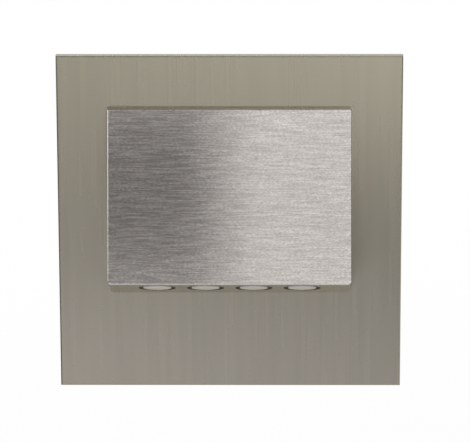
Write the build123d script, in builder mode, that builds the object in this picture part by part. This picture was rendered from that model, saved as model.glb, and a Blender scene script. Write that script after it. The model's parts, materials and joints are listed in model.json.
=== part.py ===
from build123d import *
import os
from math import cos, radians, sin, sqrt, tan, tau

# Recessed wall light: a square face plate with a wedge-shaped hood, and a round housing behind it.
# X runs to the right, Y into the wall and Z up. The origin lies on the wall, behind the middle of the plate.

# Face plate and its gaskets
plate_side = 80.0
plate_t = 2.0
plate_edge_r = 0.45
gasket_t = 1.0
gasket_inset = 1.5
gasket_corner_r = 0.8
gasket_hole_gap = 1.5
ring_seal_w = 4.0
ring_seal_inset = 0.5

# Hood, folded from sheet: depths are in front of the plate
hood_w = 56.3
hood_sheet = 1.2
hood_fold_r = 0.3
hood_top_corner_r = 0.4
hood_low_corner_r = 0.9
hood_top_z = 27.75
hood_top_depth = 1.7
hood_lip_z = -11.35
hood_lip_depth = 12.0
hood_heel_z = -16.95
hood_flange_w = 6.0
hood_flange_gap = 2.5
hood_screw_end = 4.0

# Lenses in the hood's underside, and the light engine behind them
lens_count = 4
lens_pitch = 11.2
lens_setback = 5.3
lens_hole_d = 8.6
lens_d = 6.5
lens_dome = 0.3
lens_rim = 0.95
lens_rim_t = 0.8
lens_seal_recess = 0.25
lens_seal_stand = 0.5
bar_side_gap = 1.9
bar_depth = 7.8
bar_t = 2.2
bar_corner_r = 1.0
bar_mouth_d = 6.0
bar_throat_d = 4.8
bar_screw_end = 2.4
bar_screw_sink = 1.3
led_side = 3.0
led_base_t = 0.6
led_dome_d = 2.2
led_board_t = 1.0
carrier_t = 1.5
carrier_side_gap = 0.9
carrier_rise = 12.0
carrier_screw_x = 7.0
carrier_screw_end = 4.0

# Leads from the light engine to the driver
lead_d = 1.4
lead_spacing = 2.6
lead_rise = 5.5
lead_bend_r = 4.5
lead_slot_gap = 0.8
lead_hole_r = 3.5
grommet_r = 4.0
grommet_flange_w = 1.5
grommet_flange_t = 1.0

# Housing in the wall
collar_r = 29.0
collar_len = 5.0
collar_step = 0.5
flat_depth = 7.5
housing_len = 28.0
housing_wall = 2.0
bulkhead_t = 3.0
stud_inset = 4.5
stud_z = 9.0
stud_d = 3.0
stud_nut_af = 5.5
stud_nut_t = 2.4
stud_end = 1.0
cover_boss_r = 3.2
cover_boss_inset = 2.5
cover_boss_angle = 53.0
cover_boss_len = 12.0
cover_seal_t = 0.8
cover_t = 2.5
cover_edge_r = 0.8

# Driver board and what stands on it
driver_standoff = 6.0
driver_board_t = 1.6
driver_board_gap = 1.0
driver_boss_r = 2.5
driver_boss_x = 7.0
driver_boss_inset = 6.5
boss_floor = 1.0
terminal_w = 11.0
terminal_h = 9.0
terminal_len = 10.0
terminal_z = 11.0
terminal_pitch = 5.0
terminal_well_r = 1.9
terminal_well_len = 3.0
terminal_entry_r = 1.3
terminal_chamfer = 0.5
inductor_side = 10.0
inductor_len = 6.0
inductor_x = -10.0
inductor_z = -6.0
inductor_corner_r = 1.5
capacitor_r = 4.0
capacitor_len = 11.0
capacitor_x = 9.0
capacitor_z = -6.0
input_cap_w = 12.0
input_cap_h = 4.6
input_cap_len = 9.0
input_cap_z = -14.6
chip_w = 5.0
chip_h = 6.0
chip_t = 1.6
chip_x = 11.0
chip_z = 6.0
chip_legs = 4
chip_leg_pitch = 1.27
chip_leg_w = 0.4
chip_leg_reach = 1.0
component_edge_r = 0.5
vent_depth = 0.2

# Cable gland in the rear cover
gland_thread_r = 6.0
gland_af = 16.0
gland_flange_t = 4.0
gland_neck_len = 6.0
gland_locknut_t = 4.0
gland_spigot_end = 0.5
gland_seal_r = 4.5
gland_seal_stand = 0.7
gland_lip_len = 0.8
cable_bore_r = 3.1
gland_throat_r = 3.6
gland_cap_gap = 0.7
gland_cap_end_t = 2.0
gland_chamfer = 1.2
gland_flange_chamfer = 0.5

# Spring clips on the housing's flats
clip_sheet = 1.0
clip_pivot_out = 3.1
clip_pivot_y = 13.0
clip_lead_deg = 15.0
clip_tip_inset = 1.5
clip_heel = 0.6
clip_lug_r = 1.8
clip_lug_reach = 5.0
clip_lug_in = 4.4
clip_neck_w = 7.6
clip_pin_r = 1.0
clip_pin_head_r = 1.5
clip_pin_head_t = 0.7
ear_r = 2.2
bracket_tail = 12.0
bracket_corner_r = 1.0
bracket_screw_back = 9.5
bracket_screw_z = 3.2
bracket_boss_r = 2.4
bracket_boss_len = 2.0
stop_tab_over = 0.9
stop_tab_w = 6.0
pad_len = 4.0
pad_t = 0.7
pad_w = 9.0
spring_wire = 0.5
spring_r = 1.75
spring_pitch = 1.0
spring_full_turns = 3
spring_leg_fixed = 7.0
spring_leg_moving = 7.5
spring_samples = 800

# Fits
thread_gap = 0.05
screw_gap = 0.2
slip_gap = 0.05
pin_gap = 0.05
clip_gap = 0.3
stop_gap = 0.35
spring_gap = 0.25

# Screws: shank radius, head radius and head height
m3_r = 1.5
m3_head_r = 2.8
m3_head_h = 1.9
m25_r = 1.25
m25_head_r = 2.3
m25_head_h = 1.6
m2_r = 1.0
m2_head_r = 1.75
m2_head_h = 1.2
countersink_deg = 90.0
cover_screw_len = 10.0
driver_screw_len = 6.0
bracket_screw_len = 4.0
recess_slot = 0.5
recess_span = 1.2

# Depths along Y and distances from the middle that follow from these
plate_back_y = -gasket_t
plate_front_y = plate_back_y - plate_t
hood_top_y = plate_front_y - hood_top_depth
hood_lip_y = plate_front_y - hood_lip_depth
body_r = collar_r - collar_step
flat_x = collar_r - flat_depth
cavity_r = body_r - housing_wall
cavity_flat = flat_x - housing_wall
cover_front_y = housing_len + cover_seal_t
cover_back_y = cover_front_y + cover_t
driver_front_y = bulkhead_t + driver_standoff
driver_back_y = driver_front_y + driver_board_t

# The hood's underside: one direction runs back along it, the other up into the hood
under_back = Vector(0, hood_lip_depth, hood_heel_z - hood_lip_z).normalized()
under_in = Vector(1, 0, 0).cross(under_back)
lens_row = Vector(0, hood_lip_y, hood_lip_z) + under_back * lens_setback
seat = Plane(origin=lens_row, x_dir=(1, 0, 0), z_dir=under_in)

# Levels of the stack behind the underside, measured up into the hood
rim_level = hood_sheet + lens_seal_stand
bar_level = rim_level + lens_rim_t
board_level = bar_level + bar_t
leaf_level = board_level + led_board_t
leaf_top = leaf_level + carrier_t


def under_point(along, inward):
    """Y and Z of a point of the underside's stack, from the middle of the lens row."""
    point = lens_row + under_back * along + under_in * inward
    return (point.Y, point.Z)


def under_at_depth(y, inward):
    """Y and Z of the point at depth y on one level of the underside's stack."""
    along = (y - lens_row.Y - under_in.Y * inward) / under_back.Y
    return under_point(along, inward)


def facing(y):
    """Plane across the light at depth y, as seen from the room: solids grow from it towards the room."""
    return Plane.XZ.offset(-y)


def looking_back(x, y, z):
    """Plane at a point, facing into the wall."""
    return Plane(origin=(x, y, z), x_dir=(1, 0, 0), z_dir=(0, 1, 0))


def four(x, z):
    """The four points that mirror one point left to right and top to bottom."""
    return [(sx * x, sz * z) for sx in (-1, 1) for sz in (-1, 1)]


def lens_seat(x, inward):
    """Plane across a lens's axis, at one level of the underside's stack, facing up into the hood."""
    return Plane(origin=seat.from_local_coords((x, 0, inward)), x_dir=(1, 0, 0), z_dir=under_in)


def flatted_disc(radius, flat, mode=Mode.ADD):
    """Round outline that is cut off flat at its left and right."""
    Circle(radius, mode=mode)
    Rectangle(2 * flat, 2 * radius, mode=Mode.INTERSECT)


def hood_outline(back_y):
    """Side outline of the hood's wedge, carried back to the depth back_y."""
    slope = (hood_heel_z - hood_lip_z) / hood_lip_depth
    heel = (back_y, hood_lip_z + slope * (back_y - hood_lip_y))
    return [(back_y, hood_top_z), (hood_top_y, hood_top_z), (hood_lip_y, hood_lip_z), heel]


def cross_recess(head_r):
    """Outline of a cross recess."""
    Rectangle(head_r * recess_span, recess_slot)
    Rectangle(recess_slot, head_r * recess_span)


def pan_screw(shank_r, head_r, head_h, length):
    """Pan-head screw on the Z axis: its head stands on z = 0 and its shank points down."""
    side_h = head_h / 2
    with BuildPart() as screw:
        with BuildSketch(Plane.XZ):
            with BuildLine():
                Polyline(
                    (0, head_h),
                    (0, -length),
                    (shank_r, -length),
                    (shank_r, 0),
                    (head_r, 0),
                    (head_r, side_h),
                )
                TangentArc((0, head_h), (head_r, side_h), tangent=(1, 0))
            make_face()
        revolve(axis=Axis.Z)
        with BuildSketch(Plane.XY.offset(head_h)):
            cross_recess(head_r)
        extrude(amount=-head_h / 2, mode=Mode.SUBTRACT)
    return screw.part


def countersunk_screw(shank_r, head_r, length):
    """Countersunk screw on the Z axis: its flat head lies in z = 0 and its shank points down."""
    neck = (head_r - shank_r) / tan(radians(countersink_deg / 2))
    with BuildPart() as screw:
        with BuildSketch(Plane.XZ):
            with BuildLine():
                Polyline((0, 0), (0, -length), (shank_r, -length), (shank_r, -neck), (head_r, 0), close=True)
            make_face()
        revolve(axis=Axis.Z)
        with BuildSketch(Plane.XY):
            cross_recess(head_r)
        extrude(amount=-neck / 2, mode=Mode.SUBTRACT)
    return screw.part


# Where the leads run: up from the light board, then straight back to the driver board
lead_corner = under_point(0, leaf_level + lead_rise)
lead_z = lead_corner[1]

# Where the hood's flanges and the carrier's foot lie on the plate
hood_inner_x = hood_w / 2 - hood_sheet
flange_x = hood_inner_x - hood_flange_w / 2
flange_low_z = under_at_depth(plate_front_y - hood_sheet, leaf_top)[1] + hood_flange_gap
flange_high_z = hood_top_z - hood_sheet - hood_flange_gap
hood_screw_points = [
    (side * flange_x, z)
    for side in (-1, 1)
    for z in (flange_low_z + hood_screw_end, flange_high_z - hood_screw_end)
]
carrier_top_z = lead_z + carrier_rise
carrier_screw_points = [(side * carrier_screw_x, carrier_top_z - carrier_screw_end) for side in (-1, 1)]
stud_points = four(cavity_flat - stud_inset, stud_z)

# Lens row along X, and the bar that covers it
lens_x = [(i - (lens_count - 1) / 2) * lens_pitch for i in range(lens_count)]
bar_len = 2 * (hood_inner_x - bar_side_gap)
bar_screw_x = bar_len / 2 - bar_screw_end

# Face plate, with a hole for the leads and countersunk holes from behind
with BuildPart() as face_plate:
    with BuildSketch(facing(plate_back_y)):
        Rectangle(plate_side, plate_side)
    extrude(amount=plate_t)
    fillet(face_plate.faces().sort_by(Axis.Y)[0].edges(), plate_edge_r)
    with BuildSketch(facing(plate_back_y)):
        with Locations((0, lead_z)):
            Circle(lead_hole_r)
    extrude(amount=plate_t, mode=Mode.SUBTRACT)
    with Locations(*[looking_back(x, plate_back_y, z) for x, z in hood_screw_points + carrier_screw_points]):
        CounterSinkHole(m25_r + screw_gap, m25_head_r + slip_gap, plate_t, countersink_deg)
face_plate.part.label = "face_plate"

# Weld studs on the plate's back
stud_tip_y = bulkhead_t + stud_nut_t + stud_end
with BuildPart() as plate_studs:
    with BuildSketch(facing(stud_tip_y)):
        with Locations(*stud_points):
            Circle(stud_d / 2)
    extrude(amount=stud_tip_y - plate_back_y)
plate_studs.part.label = "plate_studs"

# Nuts on the studs, inside the housing
with BuildPart() as stud_nuts:
    with BuildSketch(facing(bulkhead_t + stud_nut_t)):
        with Locations(*stud_points):
            RegularPolygon(stud_nut_af / 2, 6, major_radius=False)
            Circle(stud_d / 2 + thread_gap, mode=Mode.SUBTRACT)
    extrude(amount=stud_nut_t)
stud_nuts.part.label = "stud_nuts"

# Square gasket between plate and wall, and ring gasket between plate and housing
with BuildPart() as wall_gasket:
    with BuildSketch(facing(0)):
        gasket_side = plate_side - 2 * gasket_inset
        RectangleRounded(gasket_side, gasket_side, gasket_corner_r)
        Circle(collar_r + gasket_hole_gap, mode=Mode.SUBTRACT)
    extrude(amount=gasket_t)
wall_gasket.part.label = "wall_gasket"

with BuildPart() as housing_seal:
    with BuildSketch(facing(0)):
        Circle(collar_r - ring_seal_inset)
        Circle(collar_r - ring_seal_inset - ring_seal_w, mode=Mode.SUBTRACT)
    extrude(amount=gasket_t)
housing_seal.part.label = "housing_seal"

# Hood: a folded wedge, open at the back, with a flange inside each cheek and the lens holes in its underside
with BuildPart() as hood:
    with BuildSketch(Plane.YZ):
        with BuildLine():
            Polyline(*hood_outline(plate_front_y), close=True)
        make_face()
    extrude(amount=hood_w / 2, both=True)
    hood_under = hood.faces().sort_by(Axis.Z)[0]
    fillet(hood_under.edges() & hood.faces().filter_by(Axis.X).edges(), hood_low_corner_r)
    hood_top = hood.faces().sort_by(Axis.Z)[-1]
    fillet(hood_top.edges() & hood.faces().filter_by(Axis.X).edges(), hood_top_corner_r)
    fillet(hood.faces().sort_by(Axis.Y)[0].edges(), hood_fold_r)
    with BuildSketch(Plane.YZ):
        with BuildLine():
            Polyline(*hood_outline(plate_front_y + 2 * hood_sheet), close=True)
        make_face()
        offset(amount=-hood_sheet, kind=Kind.INTERSECTION)
    extrude(amount=hood_inner_x, both=True, mode=Mode.SUBTRACT)
    with BuildSketch(facing(plate_front_y)):
        with Locations(*[(side * flange_x, (flange_low_z + flange_high_z) / 2) for side in (-1, 1)]):
            Rectangle(hood_flange_w, flange_high_z - flange_low_z)
    extrude(amount=hood_sheet)
    with BuildSketch(facing(plate_front_y)):
        with Locations(*hood_screw_points):
            Circle(m25_r + thread_gap)
    extrude(amount=hood_sheet, mode=Mode.SUBTRACT)
    with BuildSketch(seat):
        with Locations(*[(x, 0) for x in lens_x]):
            Circle(lens_hole_d / 2)
    extrude(amount=hood_sheet, mode=Mode.SUBTRACT)
hood.part.label = "hood"

with BuildPart() as hood_screws:
    with Locations(*[looking_back(x, plate_back_y, z) for x, z in hood_screw_points]):
        add(countersunk_screw(m25_r, m25_head_r, plate_t + hood_sheet))
hood_screws.part.label = "hood_screws"

# Heat spreader: a leaf over the underside and a foot on the plate
leaf_front = under_point(-bar_depth / 2, leaf_level)
leaf_front_top = under_point(-bar_depth / 2, leaf_top)
leaf_at_plate = under_at_depth(plate_front_y, leaf_level)
leaf_top_at_plate = under_at_depth(plate_front_y, leaf_top)
leaf_top_at_foot = under_at_depth(plate_front_y - carrier_t, leaf_top)
with BuildPart() as led_carrier:
    with BuildSketch(Plane.YZ):
        with BuildLine():
            Polyline(leaf_front, leaf_at_plate, leaf_top_at_plate, leaf_front_top, close=True)
        make_face()
    extrude(amount=bar_len / 2, both=True)
    with BuildSketch(Plane.YZ):
        with BuildLine():
            Polyline(
                leaf_at_plate,
                (plate_front_y, carrier_top_z),
                (plate_front_y - carrier_t, carrier_top_z),
                leaf_top_at_foot,
                close=True,
            )
        make_face()
    extrude(amount=hood_inner_x - hood_flange_w - carrier_side_gap, both=True)
    with BuildSketch(seat.offset(leaf_level)):
        Rectangle(lead_spacing + lead_d + 2 * lead_slot_gap, lead_d + 2 * lead_slot_gap)
        with Locations((-bar_screw_x, 0), (bar_screw_x, 0)):
            Circle(m2_r + thread_gap)
    extrude(amount=carrier_t, mode=Mode.SUBTRACT)
    with BuildSketch(facing(plate_front_y)):
        with Locations((0, lead_z)):
            Circle(lead_hole_r)
        with Locations(*carrier_screw_points):
            Circle(m25_r + thread_gap)
    extrude(amount=carrier_t, mode=Mode.SUBTRACT)
led_carrier.part.label = "led_carrier"

with BuildPart() as carrier_screws:
    with Locations(*[looking_back(x, plate_back_y, z) for x, z in carrier_screw_points]):
        add(countersunk_screw(m25_r, m25_head_r, plate_t + carrier_t))
carrier_screws.part.label = "carrier_screws"

# Board that carries the lights
with BuildPart() as led_board:
    with BuildSketch(seat.offset(board_level)):
        Rectangle(bar_len, bar_depth)
        with Locations((-bar_screw_x, 0), (bar_screw_x, 0)):
            Circle(m2_r + screw_gap, mode=Mode.SUBTRACT)
    extrude(amount=led_board_t)
led_board.part.label = "led_board"

# Black bar with a funnel over each light, which presses the lenses onto their seals
with BuildPart() as optic_bar:
    with BuildSketch(seat.offset(bar_level)):
        RectangleRounded(bar_len, bar_depth, bar_corner_r)
    extrude(amount=bar_t)
    with Locations(*[lens_seat(x, bar_level) for x in lens_x]):
        Cone(
            bar_mouth_d / 2,
            bar_throat_d / 2,
            bar_t,
            align=(Align.CENTER, Align.CENTER, Align.MIN),
            mode=Mode.SUBTRACT,
        )
    with BuildSketch(seat.offset(bar_level)):
        with Locations((-bar_screw_x, 0), (bar_screw_x, 0)):
            Circle(m2_head_r + screw_gap)
    extrude(amount=bar_screw_sink, mode=Mode.SUBTRACT)
    with BuildSketch(seat.offset(bar_level)):
        with Locations((-bar_screw_x, 0), (bar_screw_x, 0)):
            Circle(m2_r + screw_gap)
    extrude(amount=bar_t, mode=Mode.SUBTRACT)
optic_bar.part.label = "optic_bar"

optic_screw_seats = [
    Plane(
        origin=seat.from_local_coords((side * bar_screw_x, 0, bar_level + bar_screw_sink)),
        x_dir=seat.x_dir,
        z_dir=-under_in,
    )
    for side in (-1, 1)
]
with BuildPart() as optic_screws:
    with Locations(*optic_screw_seats):
        add(pan_screw(m2_r, m2_head_r, m2_head_h, leaf_top - bar_level - bar_screw_sink))
optic_screws.part.label = "optic_screws"

# Each light has its package, its lens and the lens's seal in the hood's hole
lens_pieces = []
for number, x in enumerate(lens_x, start=1):
    lens_middle = seat.from_local_coords((x, 0, 0))
    section = Plane(origin=lens_middle, x_dir=(1, 0, 0), z_dir=-under_back)
    lens_axis = Axis(lens_middle, under_in)
    led_top = board_level - led_base_t

    with BuildPart() as led:
        with BuildSketch(seat.offset(board_level)):
            with Locations((x, 0)):
                Rectangle(led_side, led_side)
        extrude(amount=-led_base_t)
        with BuildSketch(section):
            with BuildLine():
                Polyline((0, led_top - led_dome_d / 2), (0, led_top), (led_dome_d / 2, led_top))
                TangentArc((0, led_top - led_dome_d / 2), (led_dome_d / 2, led_top), tangent=(1, 0))
            make_face()
        revolve(axis=lens_axis)
    led.part.label = f"led_{number}"

    with BuildPart() as lens:
        with BuildSketch(section):
            with BuildLine():
                TangentArc((0, -lens_dome), (lens_d / 2, 0), tangent=(1, 0))
                Polyline(
                    (lens_d / 2, 0),
                    (lens_d / 2, rim_level),
                    (lens_d / 2 + lens_rim, rim_level),
                    (lens_d / 2 + lens_rim, bar_level),
                    (0, bar_level),
                    (0, -lens_dome),
                )
            make_face()
        revolve(axis=lens_axis)
    lens.part.label = f"lens_{number}"

    with BuildPart() as lens_seal:
        with BuildSketch(seat.offset(lens_seal_recess)):
            with Locations((x, 0)):
                Circle(lens_hole_d / 2 - slip_gap)
                Circle(lens_d / 2 + slip_gap, mode=Mode.SUBTRACT)
        extrude(amount=rim_level - lens_seal_recess)
    lens_seal.part.label = f"lens_seal_{number}"

    lens_pieces += [led, lens, lens_seal]

# Leads, from the light board through the plate to the driver board
lead_pieces = []
for lead_name, side in (("lead_red", -1), ("lead_black", 1)):
    lead_x = side * lead_spacing / 2
    lead_start = seat.from_local_coords((lead_x, 0, leaf_level))
    lead_turn = Vector(lead_x, lead_corner[0], lead_corner[1])
    lead_end = Vector(lead_x, driver_front_y, lead_z)
    with BuildPart() as lead:
        with BuildLine():
            FilletPolyline(lead_start, lead_turn, lead_end, radius=lead_bend_r)
        with BuildSketch(Plane(origin=lead_start, x_dir=(1, 0, 0), z_dir=under_in)):
            Circle(lead_d / 2)
        sweep()
    lead.part.label = lead_name
    lead_pieces.append(lead)
print(f"leads bend at {lead_bend_r} mm, {lead_bend_r / lead_d:.1f} times their diameter")

# Rubber grommet in the bulkhead
grommet_back_y = bulkhead_t + grommet_flange_t
with BuildPart() as lead_grommet:
    with BuildSketch(facing(0)):
        with Locations((0, lead_z)):
            Circle(grommet_r + grommet_flange_w)
    extrude(amount=gasket_t)
    with BuildSketch(facing(grommet_back_y)):
        with Locations((0, lead_z)):
            Circle(grommet_r + grommet_flange_w)
    extrude(amount=grommet_flange_t)
    with BuildSketch(facing(bulkhead_t)):
        with Locations((0, lead_z)):
            Circle(grommet_r - slip_gap)
    extrude(amount=bulkhead_t)
    with BuildSketch(facing(grommet_back_y)):
        with Locations(*[(side * lead_spacing / 2, lead_z) for side in (-1, 1)]):
            Circle(lead_d / 2 + slip_gap)
    extrude(amount=grommet_back_y - plate_back_y, mode=Mode.SUBTRACT)
lead_grommet.part.label = "lead_grommet"

# Housing: a round can that is closed at the front, with a flat for a clip on each side
cover_boss_reach = cavity_r - cover_boss_inset
cover_boss_points = four(
    cover_boss_reach * cos(radians(cover_boss_angle)),
    cover_boss_reach * sin(radians(cover_boss_angle)),
)
driver_boss_points = four(driver_boss_x, cavity_r - driver_boss_inset)
bracket_screw_y = clip_pivot_y + bracket_screw_back
bracket_screw_points = [(bracket_screw_y, -bracket_screw_z), (bracket_screw_y, bracket_screw_z)]
with BuildPart() as housing:
    with BuildSketch(facing(collar_len)):
        Circle(collar_r)
    extrude(amount=collar_len)
    with BuildSketch(facing(housing_len)):
        flatted_disc(body_r, flat_x)
    extrude(amount=housing_len - collar_len)
    with BuildSketch(facing(housing_len)):
        flatted_disc(cavity_r, cavity_flat)
    extrude(amount=housing_len - bulkhead_t, mode=Mode.SUBTRACT)
    with BuildSketch(facing(housing_len)):
        with Locations(*cover_boss_points):
            Circle(cover_boss_r)
        flatted_disc(cavity_r + housing_wall / 2, cavity_flat + housing_wall / 2, mode=Mode.INTERSECT)
    extrude(amount=cover_boss_len)
    with BuildSketch(facing(driver_front_y)):
        with Locations(*driver_boss_points):
            Circle(driver_boss_r)
    extrude(amount=driver_standoff)
    for side in (-1, 1):
        with BuildSketch(Plane.YZ.offset(side * cavity_flat)):
            with Locations(*bracket_screw_points):
                Circle(bracket_boss_r)
        extrude(amount=-side * bracket_boss_len)
        with BuildSketch(Plane.YZ.offset(side * flat_x)):
            with Locations(*bracket_screw_points):
                Circle(m2_r + thread_gap)
        extrude(amount=-side * (housing_wall + bracket_boss_len - boss_floor), mode=Mode.SUBTRACT)
    with BuildSketch(facing(bulkhead_t)):
        with Locations(*stud_points):
            Circle(stud_d / 2 + screw_gap)
        with Locations((0, lead_z)):
            Circle(grommet_r)
    extrude(amount=bulkhead_t, mode=Mode.SUBTRACT)
    with BuildSketch(facing(driver_front_y)):
        with Locations(*driver_boss_points):
            Circle(m25_r + thread_gap)
    extrude(amount=driver_standoff - boss_floor, mode=Mode.SUBTRACT)
    with BuildSketch(facing(housing_len)):
        with Locations(*cover_boss_points):
            Circle(m3_r + thread_gap)
    extrude(amount=cover_boss_len - boss_floor, mode=Mode.SUBTRACT)
housing.part.label = "housing"

# Driver board, notched round the cover's bosses so that it passes between them
with BuildPart() as driver_board:
    with BuildSketch(facing(driver_back_y)):
        flatted_disc(cavity_r - driver_board_gap, cavity_flat - driver_board_gap)
        with Locations(*cover_boss_points):
            Circle(cover_boss_r + driver_board_gap, mode=Mode.SUBTRACT)
        with Locations(*driver_boss_points):
            Circle(m25_r + screw_gap, mode=Mode.SUBTRACT)
    extrude(amount=driver_board_t)
driver_board.part.label = "driver_board"

with BuildPart() as driver_screws:
    with Locations(*[looking_back(x, driver_back_y, z) for x, z in driver_boss_points]):
        add(pan_screw(m25_r, m25_head_r, m25_head_h, driver_screw_len))
driver_screws.part.label = "driver_screws"

# Terminal block: wires enter from below, and the clamping screws are reached from behind
terminal_back_y = driver_back_y + terminal_len
terminal_points = [(side * terminal_pitch / 2, terminal_z) for side in (-1, 1)]
entry_y = driver_back_y + (terminal_len - terminal_well_len) / 2
with BuildPart() as terminal_block:
    with BuildSketch(facing(terminal_back_y)):
        with Locations((0, terminal_z)):
            Rectangle(terminal_w, terminal_h)
    extrude(amount=terminal_len)
    chamfer(terminal_block.faces().sort_by(Axis.Y)[-1].edges(), terminal_chamfer)
    with BuildSketch(facing(terminal_back_y)):
        with Locations(*terminal_points):
            Circle(terminal_well_r)
    extrude(amount=terminal_well_len, mode=Mode.SUBTRACT)
    with BuildSketch(Plane.XY.offset(terminal_z - terminal_h / 2)):
        with Locations(*[(x, entry_y) for x, z in terminal_points]):
            Circle(terminal_entry_r)
    extrude(amount=terminal_h / 2, mode=Mode.SUBTRACT)
terminal_block.part.label = "terminal_block"

terminal_screw_t = terminal_well_len / 2
with BuildPart() as terminal_screws:
    with BuildSketch(facing(terminal_back_y - terminal_well_len + terminal_screw_t)):
        with Locations(*terminal_points):
            Circle(terminal_well_r - screw_gap)
    extrude(amount=terminal_screw_t)
    with BuildSketch(facing(terminal_back_y - terminal_well_len + terminal_screw_t)):
        with Locations(*terminal_points):
            Rectangle(2 * terminal_well_r, recess_slot)
    extrude(amount=terminal_screw_t / 2, mode=Mode.SUBTRACT)
terminal_screws.part.label = "terminal_screws"

# Parts soldered to the driver board
with BuildPart() as driver_inductor:
    with BuildSketch(facing(driver_back_y + inductor_len)):
        with Locations((inductor_x, inductor_z)):
            RectangleRounded(inductor_side, inductor_side, inductor_corner_r)
    extrude(amount=inductor_len)
    fillet(driver_inductor.faces().sort_by(Axis.Y)[-1].edges(), component_edge_r)
driver_inductor.part.label = "driver_inductor"

with BuildPart() as driver_capacitor:
    with BuildSketch(facing(driver_back_y + capacitor_len)):
        with Locations((capacitor_x, capacitor_z)):
            Circle(capacitor_r)
    extrude(amount=capacitor_len)
    fillet(driver_capacitor.faces().sort_by(Axis.Y)[-1].edges(), component_edge_r)
    with BuildSketch(facing(driver_back_y + capacitor_len)):
        with Locations((capacitor_x, capacitor_z)):
            cross_recess(capacitor_r)
    extrude(amount=vent_depth, mode=Mode.SUBTRACT)
driver_capacitor.part.label = "driver_capacitor"

with BuildPart() as input_capacitor:
    with BuildSketch(facing(driver_back_y + input_cap_len)):
        with Locations((0, input_cap_z)):
            Rectangle(input_cap_w, input_cap_h)
    extrude(amount=input_cap_len)
    fillet(input_capacitor.faces().sort_by(Axis.Y)[-1].edges(), component_edge_r)
input_capacitor.part.label = "input_capacitor"

with BuildPart() as driver_chip:
    with BuildSketch(facing(driver_back_y + chip_t)):
        with Locations((chip_x, chip_z)):
            Rectangle(chip_w, chip_h)
    extrude(amount=chip_t)
    with BuildSketch(facing(driver_back_y + chip_t / 2)):
        with Locations((chip_x, chip_z)):
            with GridLocations(0, chip_leg_pitch, 1, chip_legs):
                Rectangle(chip_w + 2 * chip_leg_reach, chip_leg_w)
    extrude(amount=chip_t / 2)
driver_chip.part.label = "driver_chip"

# Rear cover, on a gasket of the rim's own outline
with BuildPart() as cover_seal:
    with BuildSketch(facing(cover_front_y)):
        flatted_disc(body_r, flat_x)
    extrude(amount=cover_seal_t)
    with BuildSketch(facing(cover_front_y)):
        flatted_disc(cavity_r, cavity_flat)
    extrude(amount=cover_seal_t, mode=Mode.SUBTRACT)
cover_seal.part.label = "cover_seal"

with BuildPart() as rear_cover:
    with BuildSketch(facing(cover_back_y)):
        flatted_disc(body_r, flat_x)
        Circle(gland_thread_r + thread_gap, mode=Mode.SUBTRACT)
        with Locations(*cover_boss_points):
            Circle(m3_r + screw_gap, mode=Mode.SUBTRACT)
    extrude(amount=cover_t)
    fillet(rear_cover.faces().sort_by(Axis.Y)[-1].outer_wire().edges(), cover_edge_r)
rear_cover.part.label = "rear_cover"

with BuildPart() as cover_screws:
    with Locations(*[looking_back(x, cover_back_y, z) for x, z in cover_boss_points]):
        add(pan_screw(m3_r, m3_head_r, m3_head_h, cover_screw_len))
cover_screws.part.label = "cover_screws"

# Cable gland: a threaded body through the cover, its locknut inside, and a cap that squeezes the seal.
# A lip at each end of the seal centres it in the throats of the body and the cap.
gland_flange_y = cover_back_y + gland_flange_t
gland_neck_y = gland_flange_y + gland_neck_len
gland_front_y = cover_front_y - gland_locknut_t - gland_spigot_end
with BuildPart() as gland_body:
    with BuildSketch(facing(gland_flange_y)):
        RegularPolygon(gland_af / 2, 6, major_radius=False)
    extrude(amount=gland_flange_t)
    chamfer(gland_body.faces().sort_by(Axis.Y)[-1].edges(), gland_flange_chamfer)
    with BuildSketch(facing(gland_neck_y)):
        Circle(gland_thread_r)
    extrude(amount=gland_neck_y - gland_front_y)
    with BuildSketch(facing(gland_neck_y)):
        Circle(gland_throat_r)
    extrude(amount=gland_neck_y - gland_front_y, mode=Mode.SUBTRACT)
    with BuildSketch(facing(gland_neck_y)):
        Circle(gland_seal_r + slip_gap)
    extrude(amount=gland_neck_len, mode=Mode.SUBTRACT)
gland_body.part.label = "gland_body"

with BuildPart() as gland_locknut:
    with BuildSketch(facing(cover_front_y)):
        RegularPolygon(gland_af / 2, 6, major_radius=False)
        Circle(gland_thread_r + thread_gap, mode=Mode.SUBTRACT)
    extrude(amount=gland_locknut_t)
gland_locknut.part.label = "gland_locknut"

gland_seal_y = gland_neck_y + gland_seal_stand
gland_seal_len = gland_seal_y - gland_flange_y
gland_lip_y = gland_seal_y + gland_lip_len
with BuildPart() as gland_seal:
    with BuildSketch(facing(gland_seal_y)):
        Circle(gland_seal_r)
    extrude(amount=gland_seal_len)
    with BuildSketch(facing(gland_lip_y)):
        Circle(gland_throat_r - slip_gap)
    extrude(amount=gland_seal_len + 2 * gland_lip_len)
    with BuildSketch(facing(gland_lip_y)):
        Circle(cable_bore_r)
    extrude(amount=gland_seal_len + 2 * gland_lip_len, mode=Mode.SUBTRACT)
gland_seal.part.label = "gland_seal"

gland_cap_y = gland_seal_y + gland_cap_end_t
with BuildPart() as gland_nut:
    with BuildSketch(facing(gland_cap_y)):
        RegularPolygon(gland_af / 2, 6, major_radius=False)
    extrude(amount=gland_cap_y - gland_flange_y - gland_cap_gap)
    chamfer(gland_nut.faces().sort_by(Axis.Y)[-1].edges(), gland_chamfer)
    with BuildSketch(facing(gland_cap_y)):
        Circle(gland_throat_r)
    extrude(amount=gland_cap_end_t, mode=Mode.SUBTRACT)
    with BuildSketch(facing(gland_seal_y)):
        Circle(gland_thread_r + thread_gap)
    extrude(amount=gland_seal_y - gland_flange_y - gland_cap_gap, mode=Mode.SUBTRACT)
gland_nut.part.label = "gland_nut"

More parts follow.
